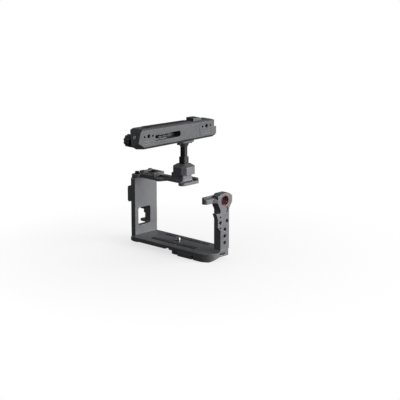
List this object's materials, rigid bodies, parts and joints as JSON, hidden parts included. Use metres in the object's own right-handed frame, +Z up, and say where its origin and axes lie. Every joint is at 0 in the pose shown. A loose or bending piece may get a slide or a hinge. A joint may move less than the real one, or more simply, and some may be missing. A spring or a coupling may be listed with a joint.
{
  "type": "camera cage with top handle",
  "caption": "C-shaped camera cage with a hook-shaped side arm, a cold shoe, a tripod block and a long swivelling top handle on a post.",
  "frame": {"origin": "centre of the tripod thread on the underside of the tripod block", "axes": "+X to the operator's right (grip side), +Y along the lens direction, +Z up"},
  "size_m": [0.1628, 0.1398, 0.1715],
  "materials": {
    "anodised_black": "black anodised, fine bead-blasted",
    "anodised_handle": "dark grey anodised, fine bead-blasted",
    "anodised_red": "dark red anodised",
    "black_steel": "black oxide",
    "bright_steel": "bright machined",
    "rubber_black": "matt rubber",
    "bronze": "sintered bronze",
    "black_plastic": "matt moulded",
    "knob_black": "black anodised, turned"
  },
  "bodies": {
    "cage": {"bottom_plate": "anodised_black", "right_side_plate": "anodised_black", "left_side_plate": "anodised_black", "top_plate": "anodised_black", "right_plate_screws": "black_steel", "left_plate_screws": "black_steel", "lug_ring": "anodised_red", "tripod_block": "anodised_black", "block_screws": "black_steel", "tripod_insert": "bright_steel", "seat_pads": "rubber_black", "side_pad": "rubber_black", "side_rail": "anodised_black", "side_rail_screws": "black_steel", "clamp_body": "anodised_black", "clamp_body_screws": "black_steel", "mount_base": "anodised_black", "post_housing": "anodised_black", "mount_screws": "black_steel", "mount_pins": "bright_steel", "housing_screws": "black_steel", "post_bushing": "bronze"},
    "handle": {"post": "black_steel", "post_circlip": "black_steel", "button_spring": "bright_steel", "post_flange": "anodised_handle", "flange_screws": "black_steel", "handle_beam": "anodised_handle", "rear_end_cap": "anodised_handle", "rear_cap_screw": "bright_steel", "front_end_cap": "black_plastic", "front_cap_screw": "black_steel", "side_panel": "anodised_handle", "palm_pad": "rubber_black", "top_boss": "anodised_handle", "top_boss_screws": "black_steel", "key_magnets": "bright_steel"},
    "button": {"release_button": "black_plastic"},
    "camera_screw": {"camera_screw": "bright_steel", "screw_retainer": "black_steel"},
    "screw_ring": {"screw_ring": "bright_steel"},
    "side_knob": {"side_knob": "knob_black", "knob_stud": "black_steel", "knob_washer": "black_plastic"},
    "hex_key": {"hex_key": "black_steel"},
    "clamp_jaw": {"clamp_jaw": "anodised_black"},
    "clamp_knob": {"clamp_knob": "knob_black"}
  },
  "joints": [
    {"name": "handle_swivel", "type": "hinge", "parent": "cage", "child": "handle", "pos_m": [-0.0214, 0.0042, 0.11], "axis": [0, 0, 1], "continuous": true},
    {"name": "release_button_press", "type": "slide", "parent": "handle", "child": "button", "axis": [-1, 0, 0], "range_m": [0, 0.0015], "stiffness_N_per_m": 400, "springref_m": -0.0005, "deforming": ["button_spring"]},
    {"name": "camera_screw_turn", "type": "hinge", "parent": "cage", "child": "camera_screw", "pos_m": [-0.032, 0.0042, 0.005], "axis": [0, 0, 1], "continuous": true},
    {"name": "screw_ring_fold", "type": "hinge", "parent": "camera_screw", "child": "screw_ring", "pos_m": [-0.032, 0.0042, 0.0029], "axis": [1, 0, 0], "range_deg": [0, 90]},
    {"name": "side_knob_turn", "type": "hinge", "parent": "handle", "child": "side_knob", "pos_m": [-0.0314, -0.0736, 0.1517], "axis": [-1, 0, 0], "continuous": true},
    {"name": "key_slide", "type": "slide", "parent": "handle", "child": "hex_key", "axis": [1, 0, 0], "range_m": [0, 0.012]},
    {"name": "clamp_knob_turn", "type": "hinge", "parent": "cage", "child": "clamp_knob", "pos_m": [-0.10795, 0.018, 0.05], "axis": [0, 0, 1], "range_deg": [0, 2161]},
    {"name": "clamp_jaw_slide", "type": "slide", "parent": "cage", "child": "clamp_jaw", "axis": [0, 0, -1], "range_m": [0, 0.006]}
  ],
  "couplings": [
    {"joint": "clamp_knob_turn", "follows": "clamp_jaw_slide", "rad_per_m": 6283.2}
  ]
}
